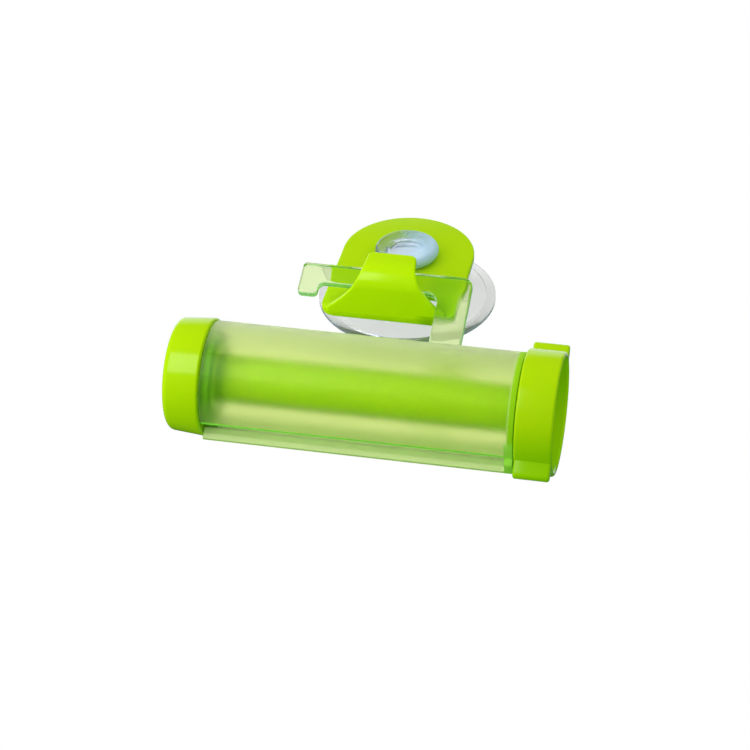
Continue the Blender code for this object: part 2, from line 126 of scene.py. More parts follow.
# Hook plate
PLATE_HALF = 17.25 * MM
PLATE_THICKNESS = 2.2 * MM
PLATE_GAP = 0.3 * MM
PLATE_BACK = SHOULDER_HEIGHT + PLATE_GAP
PLATE_MIDDLE = PLATE_BACK + PLATE_THICKNESS / 2
ARCH_CENTRE = 1.9 * MM
PLATE_BOTTOM = 28.0 * MM
PLATE_CORNER = 3.8 * MM
PLATE_EDGE = 0.5 * MM
HOLE_GAP = 0.3 * MM
WINDOW_HALF = 11.8 * MM
WINDOW_TOP = 16.9 * MM
WINDOW_CORNER = 2.0 * MM
HOOK_THICKNESS = 2.3 * MM
HOOK_ROOT_WIDTH = 34.4 * MM
HOOK_TIP_WIDTH = 12.5 * MM
HOOK_TIP_CORNER = 1.1 * MM
HOOK_SLOPE = math.radians(8.2)
HOOK_LEAN = math.radians(9.0)
HOOK_BEND = 5.0 * MM
HOOK_DEPTH = 11.2 * MM
TONGUE_LENGTH = 3.9 * MM
FLARE_POWER = 2.5
HOOK_EDGE = 0.6 * MM

# Sleeve and its arm
SLEEVE_LENGTH = 75.1 * MM
SLEEVE_RADIUS = 13.75 * MM
SLEEVE_BORE = 12.45 * MM
SLEEVE_EDGE = 0.15 * MM
SLOT_HALF = 2.2 * MM
SLOT_END = 1.9 * MM
LIP_THICKNESS = 1.5 * MM
LIP_STEP = 0.5 * MM
LIP_TIP = 15.25 * MM
LIP_FILLET = 0.4 * MM
SLOT_ANGLE = math.radians(28.7)
TUBE_Y = -16.5 * MM
TUBE_Z = -67.0 * MM
TUBE_X = 3.15 * MM
TUBE_AXIS = (0.0, TUBE_Y, TUBE_Z)
ARM_TILT = math.radians(20.66)
ARM_THICKNESS = 2.2 * MM
ARM_EDGE = 0.5 * MM
ARM_DEPTH = 14.2 * MM
ARM_ROOT = -1.0 * MM
BAR_TOP = 46.34 * MM
BAR_BOTTOM = 40.57 * MM
BAR_LEFT = -22.90 * MM
TAB_RIGHT = -17.80 * MM
TAB_BOTTOM = 36.87 * MM
LEG_LEFT = 12.9 * MM
LEG_RIGHT = 21.0 * MM
BAR_CORNER = 2.8 * MM
LEG_CORNER = 3.0 * MM
TAB_CORNER = 1.2 * MM
TAB_INNER_CORNER = 1.6 * MM

# Winding core, key and cap
CORE_RADIUS = 5.9 * MM
CORE_LEFT = -34.4 * MM
CORE_RIGHT = 41.7 * MM
CORE_EDGE = 0.4 * MM
CORE_SLOT = 2.2 * MM
CORE_SLOT_LEFT = -26.1 * MM
CORE_SLOT_RIGHT = 34.6 * MM
CORE_SLOT_CORNER = 0.99 * MM
KEY_LEFT = 41.0 * MM
KEY_RADIUS = 14.83 * MM
KEY_LENGTH = 9.0 * MM
KEY_WALL = 1.4 * MM
KEY_HUB = 2.4 * MM
KEY_SPIGOT = 1.6 * MM
KEY_SOCKET = 2.6 * MM
KEY_EDGE = 0.6 * MM
KEY_RIM_EDGE = 0.65 * MM
WING_REACH = 18.2 * MM
WING_ROOT_HALF = 2.5 * MM
WING_TIP_HALF = 1.3 * MM
WING_INSET = 0.15 * MM
WING_ANGLE = math.radians(24.0)
WING_LEAN = math.radians(4.5)
CAP_RIGHT = -34.7 * MM
CAP_RIM_RADIUS = 14.35 * MM
CAP_END_RADIUS = 13.60 * MM
CAP_LENGTH = 9.0 * MM
CAP_END_WALL = 2.0 * MM
CAP_SPIGOT = 3.0 * MM
CAP_SOCKET = 3.0 * MM
CAP_LEAD = 2.2 * MM
CAP_LEAD_DROP = 1.0 * MM
CAP_EDGE = 1.6 * MM
CAP_RIM_EDGE = 0.5 * MM
SPIGOT_RADIUS = 12.15 * MM
SPIGOT_WALL = 1.6 * MM
SPIGOT_EDGE = 0.3 * MM
SOCKET_RADIUS = 6.2 * MM
SOCKET_WALL = 1.7 * MM
SPIGOT_BORE = SPIGOT_RADIUS - SPIGOT_WALL
BOSS_RADIUS = SOCKET_RADIUS + SOCKET_WALL

# Fineness of the meshes
TURN_STEPS = 160
CORNER_STEPS = 6
DOME_STEPS = 24
BEVEL_STEPS = 3
SLEEVE_BEVEL_STEPS = 2
FLOOR_STEPS = 14
BEND_STEPS = 22
TIP_STEPS = 8
CUTTER_EDGE = 0.01 * MM
WELD = 0.002 * MM
SMOOTH_ANGLE = math.radians(32)

# Directions of the arm, of the slot and its lip, and of the tube's upper and lower sides in the photograph
ARM_UP = (0.0, -math.sin(ARM_TILT), math.cos(ARM_TILT))
ARM_DOWN = (0.0, math.sin(ARM_TILT), -math.cos(ARM_TILT))
ARM_FRONT = (0.0, -math.cos(ARM_TILT), -math.sin(ARM_TILT))
SLOT_OUT = (0.0, math.sin(SLOT_ANGLE), -math.cos(SLOT_ANGLE))
SLOT_BESIDE = (0.0, math.cos(SLOT_ANGLE), math.sin(SLOT_ANGLE))
SLOT_BEFORE = (0.0, -math.cos(SLOT_ANGLE), -math.sin(SLOT_ANGLE))
LIP_ANGLE = SLOT_ANGLE + math.radians(35)
LIP_OUT = (0.0, math.sin(LIP_ANGLE), -math.cos(LIP_ANGLE))
CROWN_OUT = (0.0, -0.82, 0.57)
BELLY_OUT = (0.0, 0.82, -0.57)

# Tones of the solid green plastic, and the painted light and shade that it gets by place
GREEN_TONES = ((0.445, 0.735, 0.001), (0.465, 0.755, 0.002))
# Painted tones: shade on the spigot, light in the groove, light on the hook and its floor, shade under the
# key, and a shadow on the plate
SPIGOT_SHADE_TONE = (0.15, 0.46, 0.001)
GROOVE_LIGHT_TONE = (0.55, 0.92, 0.01)
HOOK_LIGHT_TONE = (0.49, 0.81, 0.001)
SOLE_LIGHT_TONE = (0.56, 0.92, 0.001)
KEY_UNDERSIDE_SHADE_TONE = (0.32, 0.66, 0.0005)
SHADE_TONE = (0.35, 0.67, 0.0005)
GREEN_CLOUDS = 55.0
CLOUD_DETAIL = 3.0
GREEN_ROUGHNESS = (0.14, 0.18)
GREEN_ROUGHNESS_SCALE = 900.0
GREEN_GRAIN = 5200.0
GREEN_GRAIN_STRENGTH = 0.05
GREEN_GRAIN_HEIGHT = 0.01 * MM
GREEN_IOR = 1.46
GREEN_SPECULAR = 0.30
GREEN_DEPTH = 0.25
GREEN_DEPTH_RADIUS = (1.0, 1.3, 0.1)
GREEN_DEPTH_SCALE = 0.8 * MM

# Where painted light and shade tone the solid plastic: the distances at which a mask is zero and one
SPIGOT_SHADE_START = (0.0, 0.2 * MM)
SPIGOT_SHADE_FADE = (-5.5 * MM, -2.5 * MM)
GROOVE_INNER = (6.0 * MM, 6.1 * MM)
GROOVE_OUTER = (11.0 * MM, 10.9 * MM)
GROOVE_DEEP = (-7.2 * MM, -6.9 * MM)
GROOVE_MOUTH = (-3.3 * MM, -3.1 * MM)
ABOVE_TUBE = (-50.0 * MM, -48.0 * MM)
HOOK_LIGHT_REACH = (13.0 * MM, 15.0 * MM)
SOLE_LIGHT_DROP = (20.0 * MM, 26.0 * MM)
SOLE_LIGHT_REACH = (9.0 * MM, 11.0 * MM)
KEY_START = (-0.2 * MM, 0.0)
KEY_SHADE_SPAN = (3.0 * MM, 13.0 * MM)
SHADE_LEFT = (7.0 * MM, 10.0 * MM)
SHADE_RIGHT = (-17.0 * MM, -14.5 * MM)
SHADE_TOP = (7.0 * MM, 11.0 * MM)
SHADE_FRONT = (-13.6 * MM, -13.0 * MM)

# Tones of the frosted plastic, and how much of each matt tone covers its place
TUBE_TINTS = ((0.955, 0.985, 0.61), (0.975, 1.0, 0.63))
ARM_TINT = (0.87, 0.94, 0.62)
ARM_EDGE_TINT = (0.55, 0.90, 0.50)
FROST_CLOUDS = 90.0
FROST_IOR = 1.30
TUBE_ROUGHNESS = 0.36
ARM_ROUGHNESS = 0.06
MILK_TONE = (0.62, 0.95, 0.15, 1.0)
MILK_SHARE = 0.04
MATT_TONE = (0.92, 0.98, 0.66)
LIP_MATT = (0.72, 0.90, 0.42)
LIP_SHARE = 0.6
ARM_EDGE_MATT = (0.36, 0.78, 0.36)
ARM_EDGE_SHARE = 0.32
ABOVE_SLOT_MATT = (0.85, 1.0, 0.35)
ABOVE_SLOT_SHARE = 0.10
BRINK_MATT = (0.30, 0.92, 0.08)
BRINK_SHARE = 0.85
END_MATT = (0.36, 0.73, 0.01)
END_SHARE = 0.8
WEB_MATT = (0.40, 0.85, 0.09)
WEB_SHARE = 0.75
CROWN_SHARE = 0.25
LEG_SHARE = 0.40
FROST_ABSORBS = (0.46, 0.97, 0.04, 1.0)
FROST_DENSITY = 50.0

# Where the frosted plastic changes tone: the distances at which a mask is zero and one
ARM_START = (13.7 * MM, 14.3 * MM)
LIP_START = (11.0 * MM, 11.7 * MM)
CROWN_RISE = (6.0 * MM, 13.0 * MM)
END_START = (38.9 * MM, 39.5 * MM)
NEAR_SIDE = (0.0, 1.0 * MM)
KEEL_DROP = (8.0 * MM, 9.5 * MM)
ABOVE_SLOT = (-9.0 * MM, -2.5 * MM)
BRINK_START = (-2.9 * MM, -2.6 * MM)
BRINK_SKIN = (12.7 * MM, 13.0 * MM)
WEB_SKIN = (11.8 * MM, 12.3 * MM)
WEB_START = (38.3 * MM, 38.8 * MM)
LEG_LOW = (-34.0 * MM, -31.5 * MM)
LEG_SIDE = (17.6 * MM, 18.8 * MM)
LEG_TOP = (-41.5 * MM, -38.0 * MM)
SIDEWAYS = (0.5, 0.85)

# Tones of the clear plastic
CLEAR_TINT = (0.94, 0.93, 0.915, 1.0)
CLEAR_IOR = 1.42
CLEAR_ROUGHNESS = (0.03, 0.07)
CLEAR_ROUGHNESS_SCALE = 260.0
RIPPLE_SCALE = 160.0
RIPPLE_DETAIL = 1.0
RIPPLE_STRENGTH = 0.12
RIPPLE_HEIGHT = 0.15 * MM
BODY_HAZE_TONE = (0.76, 0.77, 0.75)
BODY_HAZE = 0.16
BUTTON_HAZE_TONE = (0.50, 0.72, 1.0)
# The button's haze rises towards one side as painted light
BUTTON_HAZE_AND_LIGHT = (0.08, 0.80)
BUTTON_START = (13.0 * MM, 13.4 * MM)
BUTTON_CENTRE = (0.0, -14.5 * MM, 0.0)
BUTTON_LIT_SIDE = (0.77, 0.58, -0.26)
BUTTON_LIT_SPAN = (-5.0 * MM, 3.0 * MM)
CLEAR_ABSORBS = (0.25, 0.55, 0.82, 1.0)
CLEAR_DENSITY = 24.0

# Reflections of all three plastics
GLOSS_TINT = (1.0, 1.0, 0.38, 1.0)

# Range of a whole mask, range and detail of a noise, and a limit that only no bounce stays under
WHOLE_RANGE = (0.0, 1.0)
NOISE_RANGE = (0.3, 0.7)
NOISE_DETAIL = 2.0
NO_BOUNCE = 0.5


# Geometry helpers


def axes(origin, across, up, out):
    """A frame from its origin and its x, y and z directions."""
    turn = Matrix((across, up, out)).transposed()
    return Matrix.Translation(origin) @ turn.to_4x4()


def wall_frame(distance=0.0):
    """A frame at a distance from the wall that faces away from it."""
    return axes((0.0, -distance, 0.0), RIGHT, UP, FORWARD)


def tube_frame(angle):
    """A frame on the tube's axis that faces right, its x turned from straight down towards the wall."""
    down = (0.0, math.sin(angle), -math.cos(angle))
    beside = (0.0, math.cos(angle), math.sin(angle))
    return axes(TUBE_AXIS, down, beside, RIGHT)


def turned_frame(place_x, side):
    """A frame at a place along the tube's axis that faces right or left."""
    across = Vector(UP).cross(Vector(side))
    return axes((place_x, TUBE_Y, TUBE_Z), across, UP, side)


def slide(distance):
    return Matrix.Translation((0.0, 0.0, distance))


def arc(centre, radius, start, end, steps=CORNER_STEPS):
    points = []
    for step in range(steps + 1):
        angle = start + (end - start) * step / steps
        points.append((centre[0] + radius * math.cos(angle), centre[1] + radius * math.sin(angle)))
    return points


def circle(radius, steps):
    return arc((0.0, 0.0), radius, 0.0, math.tau, steps)[:-1]


def round_corners(corners):
    """An outline from corners given as (x, y, fillet radius)."""
    points = []
    count = len(corners)
    for index, (x, y, radius) in enumerate(corners):
        if radius == 0:
            points.append((x, y))
            continue
        here = Vector((x, y))
        before = (Vector(corners[index - 1][:2]) - here).normalized()
        after = (Vector(corners[(index + 1) % count][:2]) - here).normalized()
        half = before.angle(after) / 2
        centre = here + (before + after).normalized() * radius / math.sin(half)
        first = here + before * radius / math.tan(half) - centre
        last = here + after * radius / math.tan(half) - centre
        start = math.atan2(first.y, first.x)
        sweep = math.remainder(math.atan2(last.y, last.x) - start, math.tau)
        points += arc(centre, radius, start, start + sweep)
    return points


def new_object(name, data, frame=None):
    """An object of the scene, placed by a frame if one is given."""
    made = bpy.data.objects.new(name, data)
    bpy.context.scene.collection.objects.link(made)
    if frame is not None:
        made.matrix_world = frame
    return made


def form_to_object(name, form, frame):
    bmesh.ops.remove_doubles(form, verts=form.verts, dist=WELD)
    bmesh.ops.recalc_face_normals(form, faces=form.faces)
    mesh = bpy.data.meshes.new(name)
    form.to_mesh(mesh)
    form.free()
    return new_object(name, mesh, frame)


def evaluated_mesh(source):
    """The mesh of an object with its curve or its modifier worked out."""
    bpy.context.view_layer.update()
    graph = bpy.context.evaluated_depsgraph_get()
    return bpy.data.meshes.new_from_object(source.evaluated_get(graph))


def turned(name, profile, frame, steps=TURN_STEPS):
    """A body of revolution from a profile of (radius, height, fillet radius) that ends on the axis."""
    form = bmesh.new()
    rings = []
    for radius, height in round_corners(profile):
        if radius < WELD:
            rings.append([form.verts.new((0.0, 0.0, height))])
            continue
        ring = []
        for step in range(steps):
            angle = math.tau * step / steps
            ring.append(form.verts.new((radius * math.cos(angle), radius * math.sin(angle), height)))
        rings.append(ring)
    for first, second in zip(rings, rings[1:]):
        for step in range(steps):
            beside = (step + 1) % steps
            if len(first) == 1:
                form.faces.new((first[0], second[step], second[beside]))
            elif len(second) == 1:
                form.faces.new((first[step], second[0], first[beside]))
            else:
                form.faces.new((first[step], second[step], second[beside], first[beside]))
    return form_to_object(name, form, frame)


def slab(name, outlines, thickness, edge, frame, resolution=BEVEL_STEPS):
    """A flat piece with rounded edges from its outlines."""
    curve = bpy.data.curves.new(name, "CURVE")
    curve.dimensions = "2D"
    curve.fill_mode = "BOTH"
    curve.extrude = thickness / 2 - edge
    curve.bevel_depth = edge
    curve.bevel_resolution = resolution
    curve.offset = -edge
    for outline in outlines:
        spline = curve.splines.new("POLY")
        spline.points.add(len(outline) - 1)
        spline.use_cyclic_u = True
        for point, (x, y) in zip(spline.points, outline):
            point.co = (x, y, 0.0, 1.0)
    guide = new_object(name, curve)
    form = bmesh.new()
    form.from_mesh(evaluated_mesh(guide))
    bpy.data.objects.remove(guide, do_unlink=True)
    return form_to_object(name, form, frame)


def combine(piece, other, operation):
    """Joins or cuts a piece with another, for good, and removes the other."""
    boolean = piece.modifiers.new("combine", "BOOLEAN")
    boolean.operation = operation
    boolean.object = other
    boolean.solver = "EXACT"
    mesh = evaluated_mesh(piece)
    piece.modifiers.clear()
    piece.data = mesh
    bpy.data.objects.remove(other, do_unlink=True)


def finish(piece, material, node, body):
    """Turns the mesh into the frame's own coordinates, smooths it and puts it in its node's stead."""
    piece.data.transform(piece.matrix_world)
    piece.matrix_world = Matrix.Identity(4)
    piece.data.materials.clear()
    piece.data.materials.append(material)
    piece.data.shade_smooth()
    piece.data.set_sharp_from_angle(angle=SMOOTH_ANGLE)
    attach(piece, body)
    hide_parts(node)


# Nodes


class Nodes:
    """A small helper that lays out the nodes of one material or world."""

    def __init__(self, owner, coordinates):
        owner.use_nodes = True
        self.tree = owner.node_tree
        self.place = self.add("ShaderNodeTexCoord").outputs[coordinates]

    def add(self, kind, **settings):
        node = self.tree.nodes.new(kind)
        for key, value in settings.items():
            setattr(node, key, value)
        return node

    def link(self, source, target):
        self.tree.links.new(source, target)

    def spread(self, source, results, values=NOISE_RANGE, way="LINEAR"):
        """Maps a range of values to a range of results, and holds the results at its ends."""
        node = self.add("ShaderNodeMapRange", interpolation_type=way)
        node.inputs["From Min"].default_value = values[0]
        node.inputs["From Max"].default_value = values[1]
        node.inputs["To Min"].default_value = results[0]
        node.inputs["To Max"].default_value = results[1]
        self.link(source, node.inputs["Value"])
        return node.outputs["Result"]

    def blend(self, factor, first, second):
        """A mix of two colours, each a tuple or the output of a node."""
        node = self.add("ShaderNodeMix", data_type="RGBA")
        self.link(factor, node.inputs["Factor"])
        for socket, value in ((node.inputs["A"], first), (node.inputs["B"], second)):
            if isinstance(value, tuple):
                socket.default_value = (*value, 1.0)
            else:
                self.link(value, socket)
        return node.outputs["Result"]

    def along(self, direction, source):
        """Length of a vector along a direction."""
        node = self.add("ShaderNodeVectorMath", operation="DOT_PRODUCT")
        node.inputs[1].default_value = direction
        self.link(source, node.inputs[0])
        return node.outputs["Value"]

    def merge(self, operation, first, others):
        """One operation over a row of values."""
        result = first
        for other in others:
            node = self.add("ShaderNodeMath", operation=operation)
            self.link(result, node.inputs[0])
            self.link(other, node.inputs[1])
            result = node.outputs["Value"]
        return result

    def times(self, first, *others):
        return self.merge("MULTIPLY", first, others)

    def most(self, first, *others):
        return self.merge("MAXIMUM", first, others)


class Surface(Nodes):
    """The nodes of one material, with masks by place, noise and mixed shaders."""

    def __init__(self, name):
        self.material = bpy.data.materials.new(name)
        super().__init__(self.material, "Object")
        self.shader = self.tree.nodes["Principled BSDF"]
        self.output = self.tree.nodes["Material Output"]

    def set(self, name, value):
        self.shader.inputs[name].default_value = value

    def feed(self, name, source):
        self.link(source, self.shader.inputs[name])

    def noise(self, scale, detail=NOISE_DETAIL):
        node = self.add("ShaderNodeTexNoise")
        node.inputs["Scale"].default_value = scale
        node.inputs["Detail"].default_value = detail
        self.link(self.place, node.inputs["Vector"])
        return node.outputs["Fac"]

    def bump(self, height, strength, distance):
        node = self.add("ShaderNodeBump")
        node.inputs["Strength"].default_value = strength
        node.inputs["Distance"].default_value = distance
        self.link(height, node.inputs["Height"])
        return node.outputs["Normal"]

    def scaled(self, mask, top):
        """A mask that runs from zero to a top value."""
        return self.spread(mask, (0.0, top), WHOLE_RANGE)

    def inverse(self, mask, top=1.0):
        """A mask turned over, from a top value down to zero."""
        return self.spread(mask, (top, 0.0), WHOLE_RANGE)

    def ramp(self, direction, start, span):
        """Zero to one over a span of distances, along a direction from a starting point."""
        offset = Vector(direction).dot(Vector(start))
        reach = (offset + span[0], offset + span[1])
        return self.spread(self.along(direction, self.place), WHOLE_RANGE, reach)

    def out_from_tube(self, span):
        """Zero to one over a span of distances out from the tube's axis."""
        flat = self.add("ShaderNodeVectorMath", operation="MULTIPLY_ADD")
        flat.inputs[1].default_value = (0.0, 1.0, 1.0)
        flat.inputs[2].default_value = (0.0, -TUBE_Y, -TUBE_Z)
        self.link(self.place, flat.inputs[0])
        length = self.add("ShaderNodeVectorMath", operation="LENGTH")
        self.link(flat.outputs["Vector"], length.inputs[0])
        return self.spread(length.outputs["Value"], WHOLE_RANGE, span)

    def side_on(self, direction):
        """One where the surface faces across a direction of the piece, zero where it faces along it."""
        facing = self.along(direction, self.add("ShaderNodeTexCoord").outputs["Normal"])
        size = self.add("ShaderNodeMath", operation="ABSOLUTE")
        self.link(facing, size.inputs[0])
        return self.spread(size.outputs["Value"], (1.0, 0.0), SIDEWAYS)

    def mix(self, share, first, second):
        """A mix of two shaders. Its share is a number or the output of a node."""
        node = self.add("ShaderNodeMixShader")
        if isinstance(share, float):
            node.inputs["Fac"].default_value = share
        else:
            self.link(share, node.inputs["Fac"])
        self.link(first, node.inputs[1])
        self.link(second, node.inputs[2])
        return node.outputs["Shader"]

    def absorb(self, colour, density):
        """Dims and tints the light on its way inside the piece."""
        depth = self.add("ShaderNodeVolumeAbsorption")
        depth.inputs["Color"].default_value = colour
        depth.inputs["Density"].default_value = density
        self.link(depth.outputs["Volume"], self.output.inputs["Volume"])


# Materials


def solid_plastic():
    """Opaque moulded plastic: yellow-green with random clouds, satin gloss and a fine grain, and painted
    light and shade by place: painted shade on the cap's spigot and the key's underside, a painted shadow on
    the plate's lower right, painted light on the hook and in the cap's groove.
    """
    nodes = Surface("moulded_green")
    cap_place = (CAP_RIGHT, 0.0, 0.0)
    key_place = (KEY_LEFT, 0.0, 0.0)
    above = nodes.ramp(UP, ORIGIN, ABOVE_TUBE)
    # Painted shade: the cap's spigot and the end of the core inside the tube are darkened where the hollow
    # lies in shade
    spigot_shade = nodes.ramp(RIGHT, cap_place, SPIGOT_SHADE_START)
    spigot_shade = nodes.times(spigot_shade, nodes.ramp(LEFT, cap_place, SPIGOT_SHADE_FADE))
    # Painted light: the hook's tongue and, more strongly, its floor are lightened as if lit through the tube
    # below
    hook = nodes.times(above, nodes.ramp(FORWARD, ORIGIN, HOOK_LIGHT_REACH))
    sole_light = nodes.times(above, nodes.ramp(DOWN, ORIGIN, SOLE_LIGHT_DROP), nodes.ramp(FORWARD, ORIGIN, SOLE_LIGHT_REACH))
    # Painted light: the groove between the cap's boss and its spigot is lightened where it lies in shade
    ring = nodes.times(nodes.out_from_tube(GROOVE_INNER), nodes.out_from_tube(GROOVE_OUTER))
    inside = nodes.ramp(RIGHT, cap_place, GROOVE_DEEP)
    inside = nodes.times(inside, nodes.ramp(LEFT, cap_place, GROOVE_MOUTH))
    # Painted shade: the key darkens towards its lower side, away from the light
    key_shade = nodes.times(nodes.ramp(RIGHT, key_place, KEY_START), nodes.ramp(BELLY_OUT, TUBE_AXIS, KEY_SHADE_SPAN))
    across = nodes.times(nodes.ramp(RIGHT, ORIGIN, SHADE_LEFT), nodes.ramp(LEFT, ORIGIN, SHADE_RIGHT))
    face = nodes.times(above, nodes.ramp(DOWN, ORIGIN, SHADE_TOP), nodes.ramp(BACK, ORIGIN, SHADE_FRONT))
    toned = [(spigot_shade, SPIGOT_SHADE_TONE), (hook, HOOK_LIGHT_TONE), (sole_light, SOLE_LIGHT_TONE)]
    toned += [(nodes.times(ring, inside), GROOVE_LIGHT_TONE), (key_shade, KEY_UNDERSIDE_SHADE_TONE)]
    toned += [(nodes.times(across, face), SHADE_TONE)]
    clouds = nodes.spread(nodes.noise(GREEN_CLOUDS, CLOUD_DETAIL), WHOLE_RANGE)
    colour = nodes.blend(clouds, *GREEN_TONES)
    for mask, tone in toned:
        colour = nodes.blend(mask, colour, tone)
    nodes.feed("Base Color", colour)
    satin = nodes.spread(nodes.noise(GREEN_ROUGHNESS_SCALE), GREEN_ROUGHNESS)
    nodes.feed("Roughness", satin)
    grain = nodes.bump(nodes.noise(GREEN_GRAIN), GREEN_GRAIN_STRENGTH, GREEN_GRAIN_HEIGHT)
    nodes.feed("Normal", grain)
    nodes.set("IOR", GREEN_IOR)
    nodes.set("Specular IOR Level", GREEN_SPECULAR)
    nodes.set("Specular Tint", GLOSS_TINT)
    nodes.set("Subsurface Weight", GREEN_DEPTH)
    nodes.set("Subsurface Radius", GREEN_DEPTH_RADIUS)
    nodes.set("Subsurface Scale", GREEN_DEPTH_SCALE)
    return nodes.material


def frosted_plastic():
    """Tinted see-through plastic: frosted tube, clear arm, and matt at lip, slot, top, end and leg."""
    nodes = Surface("frosted_green")
    arm = nodes.ramp(ARM_UP, TUBE_AXIS, ARM_START)
    lip = nodes.ramp(LIP_OUT, TUBE_AXIS, LIP_START)
    crown = nodes.times(nodes.ramp(CROWN_OUT, TUBE_AXIS, CROWN_RISE), nodes.inverse(arm))
    end = nodes.ramp(RIGHT, TUBE_AXIS, END_START)
    near = nodes.ramp(SLOT_BEFORE, TUBE_AXIS, NEAR_SIDE)
    above_slot = nodes.times(near, nodes.ramp(SLOT_OUT, TUBE_AXIS, KEEL_DROP))
    above_slot = nodes.times(above_slot, nodes.ramp(SLOT_BESIDE, TUBE_AXIS, ABOVE_SLOT))
    brink = nodes.times(near, nodes.ramp(SLOT_BESIDE, TUBE_AXIS, BRINK_START))
    brink = nodes.times(brink, nodes.ramp(SLOT_OUT, TUBE_AXIS, BRINK_SKIN))
    web = nodes.times(nodes.ramp(SLOT_OUT, TUBE_AXIS, WEB_SKIN), nodes.ramp(RIGHT, TUBE_AXIS, WEB_START))
    arm_edge = nodes.times(arm, nodes.side_on(ARM_FRONT))
    leg_side = nodes.times(nodes.ramp(RIGHT, TUBE_AXIS, LEG_SIDE), nodes.ramp(ARM_DOWN, TUBE_AXIS, LEG_TOP))
    leg = nodes.times(arm, nodes.most(nodes.ramp(ARM_DOWN, TUBE_AXIS, LEG_LOW), leg_side))

    clouds = nodes.spread(nodes.noise(FROST_CLOUDS), WHOLE_RANGE, WHOLE_RANGE)
    tube_tint = nodes.blend(clouds, *TUBE_TINTS)
    arm_tint = nodes.blend(arm_edge, ARM_TINT, ARM_EDGE_TINT)
    nodes.feed("Base Color", nodes.blend(arm, tube_tint, arm_tint))
    frost = nodes.spread(arm, (TUBE_ROUGHNESS, ARM_ROUGHNESS), WHOLE_RANGE)
    nodes.feed("Roughness", frost)
    nodes.set("Transmission Weight", 1.0)
    nodes.set("IOR", FROST_IOR)
    nodes.set("Specular Tint", GLOSS_TINT)

    tone = MATT_TONE
    share = nodes.most(nodes.scaled(crown, CROWN_SHARE), nodes.scaled(leg, LEG_SHARE))
    toned = [(lip, LIP_MATT, LIP_SHARE), (arm_edge, ARM_EDGE_MATT, ARM_EDGE_SHARE)]
    toned += [(above_slot, ABOVE_SLOT_MATT, ABOVE_SLOT_SHARE), (brink, BRINK_MATT, BRINK_SHARE)]
    toned += [(end, END_MATT, END_SHARE), (web, WEB_MATT, WEB_SHARE)]
    for mask, mask_tone, mask_share in toned:
        tone = nodes.blend(mask, tone, mask_tone)
        share = nodes.most(share, nodes.scaled(mask, mask_share))
    milk = nodes.add("ShaderNodeBsdfTranslucent")
    milk.inputs["Color"].default_value = MILK_TONE
    matt = nodes.add("ShaderNodeBsdfDiffuse")
    nodes.link(tone, matt.inputs["Color"])
    hazy = nodes.mix(MILK_SHARE, nodes.shader.outputs["BSDF"], milk.outputs["BSDF"])
    nodes.link(nodes.mix(share, hazy, matt.outputs["BSDF"]), nodes.output.inputs["Surface"])
    nodes.absorb(FROST_ABSORBS, FROST_DENSITY)
    return nodes.material


def clear_plastic():
    """Clear soft plastic of the suction cup: glossy and slightly smoky, with a hazy blue button whose haze
    rises towards one side as painted light.
    """
    nodes = Surface("clear_soft")
    button = nodes.ramp(FORWARD, ORIGIN, BUTTON_START)
    nodes.set("Base Color", CLEAR_TINT)
    nodes.set("Transmission Weight", 1.0)
    nodes.set("IOR", CLEAR_IOR)
    nodes.set("Specular Tint", GLOSS_TINT)
    gloss = nodes.spread(nodes.noise(CLEAR_ROUGHNESS_SCALE), CLEAR_ROUGHNESS)
    nodes.feed("Roughness", gloss)
    ripple = nodes.bump(nodes.noise(RIPPLE_SCALE, RIPPLE_DETAIL), RIPPLE_STRENGTH, RIPPLE_HEIGHT)
    nodes.feed("Normal", ripple)

    haze = nodes.add("ShaderNodeBsdfDiffuse")
    nodes.link(nodes.blend(button, BODY_HAZE_TONE, BUTTON_HAZE_TONE), haze.inputs["Color"])
    # Painted light: the button's haze share rises from faint to strong towards one side, brightening that
    # side
    side = nodes.spread(nodes.ramp(BUTTON_LIT_SIDE, BUTTON_CENTRE, BUTTON_LIT_SPAN), BUTTON_HAZE_AND_LIGHT, WHOLE_RANGE)
    share = nodes.most(nodes.times(button, side), nodes.inverse(button, BODY_HAZE))
    surface = nodes.mix(share, nodes.shader.outputs["BSDF"], haze.outputs["BSDF"])
    nodes.link(surface, nodes.output.inputs["Surface"])
    nodes.absorb(CLEAR_ABSORBS, CLEAR_DENSITY)
    return nodes.material


# Pieces


def dome(top_radius, top_height, rim_radius, rim_height):
    """Points down a side of the cup's shallow dome, which dips a little under a straight line."""
    points = []
    for step in range(DOME_STEPS + 1):
        share = step / DOME_STEPS
        radius = top_radius + (rim_radius - top_radius) * share
        height = top_height + (rim_height - top_height) * share
        dip = DOME_DIP * (top_height - rim_height) * math.sin(math.pi * share)
        points.append((radius, height - dip, 0))
    return points


